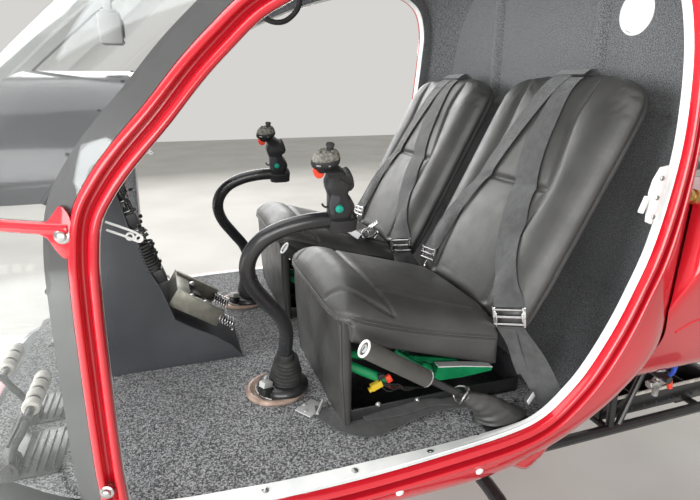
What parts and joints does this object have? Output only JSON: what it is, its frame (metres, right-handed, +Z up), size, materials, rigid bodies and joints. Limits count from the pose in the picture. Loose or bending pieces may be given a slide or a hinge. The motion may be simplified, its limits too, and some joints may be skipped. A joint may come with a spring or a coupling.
{
  "type": "helicopter cabin section",
  "caption": "Side-by-side helicopter cabin section on skids, with seats, harnesses, linked cyclic sticks, collective levers and pedals, side tanks and a tube frame.",
  "frame": {"origin": "middle of the footprint on the ground under the skids", "axes": "+X towards the nose, +Y to port, +Z up"},
  "size_m": [3.0496, 1.8082, 2.0161],
  "materials": {
    "red_paint": "glossy paint on moulded shell",
    "white_paint": "satin white paint",
    "acrylic": "clear acrylic",
    "carpet": "salt-and-pepper loop carpet",
    "grey_paint": "matte grey paint",
    "dark_panel": "fine-textured dark grey paint",
    "leather": "stitched black leather",
    "webbing": "woven webbing",
    "black_paint": "satin black paint",
    "black_plastic": "moulded black plastic",
    "black_rubber": "ribbed rubber",
    "white_rubber": "pale grip sleeves on a steel bar",
    "grey_foam": "grey foam handle sleeve",
    "copper_ring": "copper-brown anodised ring",
    "steel": "bare steel",
    "green_paint": "glossy green paint"
  },
  "bodies": {
    "cabin": {"belly_shell": "red_paint", "upper_shell": "red_paint", "nose_frame": "red_paint", "windscreen": "acrylic", "chin_window_port": "acrylic", "chin_window_starboard": "acrylic", "door_surround_port": "red_paint", "door_surround_starboard": "red_paint", "rear_bulkhead": "carpet", "floor_carpet": "carpet", "sill_strip_port": "white_paint", "sill_strip_starboard": "white_paint", "windscreen_post": "grey_paint", "compass": "dark_panel", "console": "dark_panel", "instrument_hood": "dark_panel", "tube_frame": "black_paint", "gear_tube_front": "black_paint", "gear_tube_rear": "black_paint", "skid_port": "black_paint", "skid_starboard": "black_paint", "side_tank_port": "red_paint", "side_tank_starboard": "red_paint", "tray_port": "black_paint", "seat_box_port": "leather", "seat_tubes_port": "green_paint", "seat_cushion_port": "leather", "seat_back_port": "leather", "harness_port": "webbing", "cyclic_ring_port": "copper_ring", "collective_bracket_port": "black_paint", "pedal_bracket_port": "black_paint", "seat_box_starboard": "leather", "seat_tubes_starboard": "green_paint", "seat_cushion_starboard": "leather", "seat_back_starboard": "leather", "harness_starboard": "webbing", "cyclic_ring_starboard": "copper_ring", "collective_bracket_starboard": "black_paint", "pedal_bracket_starboard": "black_paint"},
    "cyclic_gimbal_port": {"cyclic_pivot_port": "steel"},
    "cyclic_stick_port": {"cyclic_boot_port": "black_rubber", "cyclic_stick_port": "black_paint", "cyclic_grip_port": "black_plastic"},
    "collective_port": {"collective_lever_port": "grey_foam"},
    "pedal_left_port": {"pedal_left_port": "white_rubber"},
    "pedal_right_port": {"pedal_right_port": "white_rubber"},
    "cyclic_gimbal_starboard": {"cyclic_pivot_starboard": "steel"},
    "cyclic_stick_starboard": {"cyclic_boot_starboard": "black_rubber", "cyclic_stick_starboard": "black_paint", "cyclic_grip_starboard": "black_plastic"},
    "collective_starboard": {"collective_lever_starboard": "grey_foam"},
    "pedal_left_starboard": {"pedal_left_starboard": "white_rubber"},
    "pedal_right_starboard": {"pedal_right_starboard": "white_rubber"}
  },
  "joints": [
    {"name": "cyclic_pitch_port", "type": "hinge", "parent": "cabin", "child": "cyclic_gimbal_port", "pos_m": [0.29323, 0.35435, 0.71027], "axis": [0, 1, 0], "range_deg": [-9, 9]},
    {"name": "cyclic_roll_port", "type": "hinge", "parent": "cyclic_gimbal_port", "child": "cyclic_stick_port", "pos_m": [0.29323, 0.35435, 0.71027], "axis": [1, 0, 0], "range_deg": [0, 20]},
    {"name": "collective_port", "type": "hinge", "parent": "cabin", "child": "collective_port", "pos_m": [-0.17477, 0.644, 0.684], "axis": [0, -1, 0], "range_deg": [0, 22]},
    {"name": "pedal_left_port", "type": "hinge", "parent": "cabin", "child": "pedal_left_port", "pos_m": [0.90523, 0.484, 0.676], "axis": [0, 1, 0], "range_deg": [0, 45.5]},
    {"name": "pedal_right_port", "type": "hinge", "parent": "cabin", "child": "pedal_right_port", "pos_m": [0.90523, 0.278, 0.676], "axis": [0, 1, 0], "range_deg": [-45.5, 0]},
    {"name": "cyclic_pitch_starboard", "type": "hinge", "parent": "cabin", "child": "cyclic_gimbal_starboard", "pos_m": [0.29323, -0.30565, 0.71027], "axis": [0, 1, 0], "range_deg": [-9, 9]},
    {"name": "cyclic_roll_starboard", "type": "hinge", "parent": "cyclic_gimbal_starboard", "child": "cyclic_stick_starboard", "pos_m": [0.29323, -0.30565, 0.71027], "axis": [1, 0, 0], "range_deg": [0, 20]},
    {"name": "collective_starboard", "type": "hinge", "parent": "cabin", "child": "collective_starboard", "pos_m": [-0.14677, -0.035, 0.684], "axis": [0, -1, 0], "range_deg": [0, 22]},
    {"name": "pedal_left_starboard", "type": "hinge", "parent": "cabin", "child": "pedal_left_starboard", "pos_m": [0.90523, -0.278, 0.676], "axis": [0, 1, 0], "range_deg": [0, 45.5]},
    {"name": "pedal_right_starboard", "type": "hinge", "parent": "cabin", "child": "pedal_right_starboard", "pos_m": [0.90523, -0.484, 0.676], "axis": [0, 1, 0], "range_deg": [-45.5, 0]}
  ],
  "couplings": [
    {"joint": "cyclic_pitch_starboard", "follows": "cyclic_pitch_port", "ratio": 1},
    {"joint": "cyclic_roll_starboard", "follows": "cyclic_roll_port", "ratio": 1},
    {"joint": "collective_starboard", "follows": "collective_port", "ratio": 1},
    {"joint": "pedal_right_port", "follows": "pedal_left_port", "ratio": -1},
    {"joint": "pedal_left_starboard", "follows": "pedal_left_port", "ratio": 1},
    {"joint": "pedal_right_starboard", "follows": "pedal_left_port", "ratio": -1}
  ]
}
